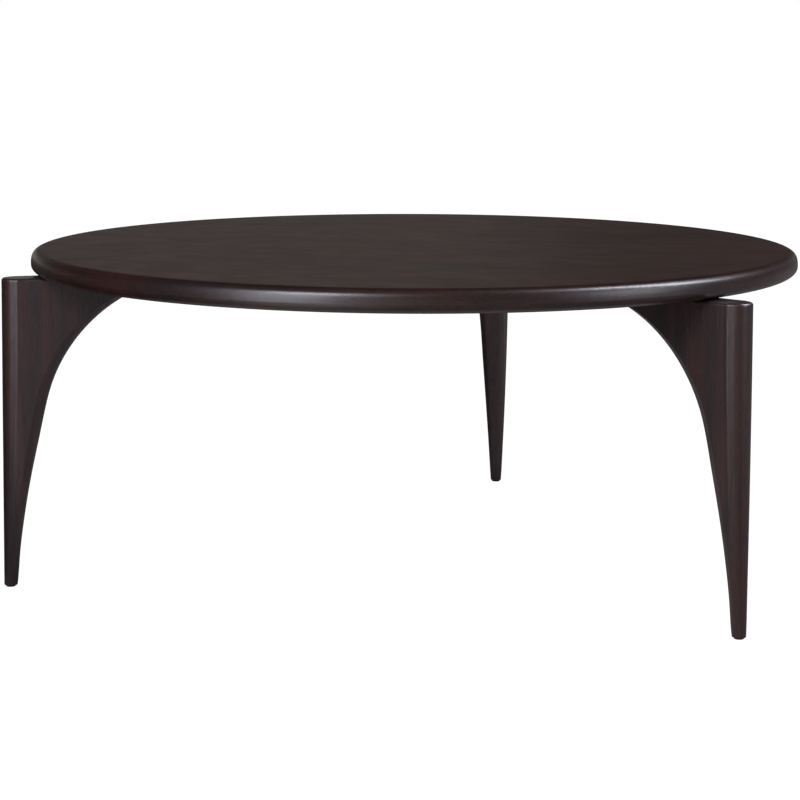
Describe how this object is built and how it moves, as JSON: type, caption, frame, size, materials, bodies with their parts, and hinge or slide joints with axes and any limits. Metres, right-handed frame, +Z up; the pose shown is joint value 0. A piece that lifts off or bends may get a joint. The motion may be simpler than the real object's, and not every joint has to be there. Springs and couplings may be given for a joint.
{
  "type": "round cocktail table",
  "caption": "Round cocktail table in dark stained wood: a disc top with a soft rim on radial slab legs that arch into the underside and taper to slim feet.",
  "frame": {"origin": "on the floor, under the middle of the round top", "axes": "+Z up; +Y towards the back leg; +X to the right, along the boards of the top"},
  "size_m": [1.067, 1.117, 0.457],
  "materials": {
    "top_wood": "dark stain under a satin lacquer",
    "leg_wood": "dark stain under a satin lacquer",
    "dowel_wood": "plain beech",
    "plate_steel": "black powder coat",
    "screw_steel": "zinc plated",
    "insert_brass": "plain",
    "glide_plastic": "dark nylon"
  },
  "bodies": {
    "root": {"top_board_1": "top_wood", "top_board_2": "top_wood", "top_board_3": "top_wood", "top_board_4": "top_wood", "top_board_5": "top_wood", "top_board_6": "top_wood", "top_board_7": "top_wood", "top_board_8": "top_wood", "back_leg_upright": "leg_wood", "back_leg_knee": "leg_wood", "back_leg_dowels": "dowel_wood", "back_leg_plate": "plate_steel", "back_plate_leg_screws": "screw_steel", "back_leg_inserts": "insert_brass", "back_plate_top_screws": "screw_steel", "back_foot_glide": "glide_plastic", "left_leg_upright": "leg_wood", "left_leg_knee": "leg_wood", "left_leg_dowels": "dowel_wood", "left_leg_plate": "plate_steel", "left_plate_leg_screws": "screw_steel", "left_leg_inserts": "insert_brass", "left_plate_top_screws": "screw_steel", "left_foot_glide": "glide_plastic", "right_leg_upright": "leg_wood", "right_leg_knee": "leg_wood", "right_leg_dowels": "dowel_wood", "right_leg_plate": "plate_steel", "right_plate_leg_screws": "screw_steel", "right_leg_inserts": "insert_brass", "right_plate_top_screws": "screw_steel", "right_foot_glide": "glide_plastic"}
  },
  "joints": []
}
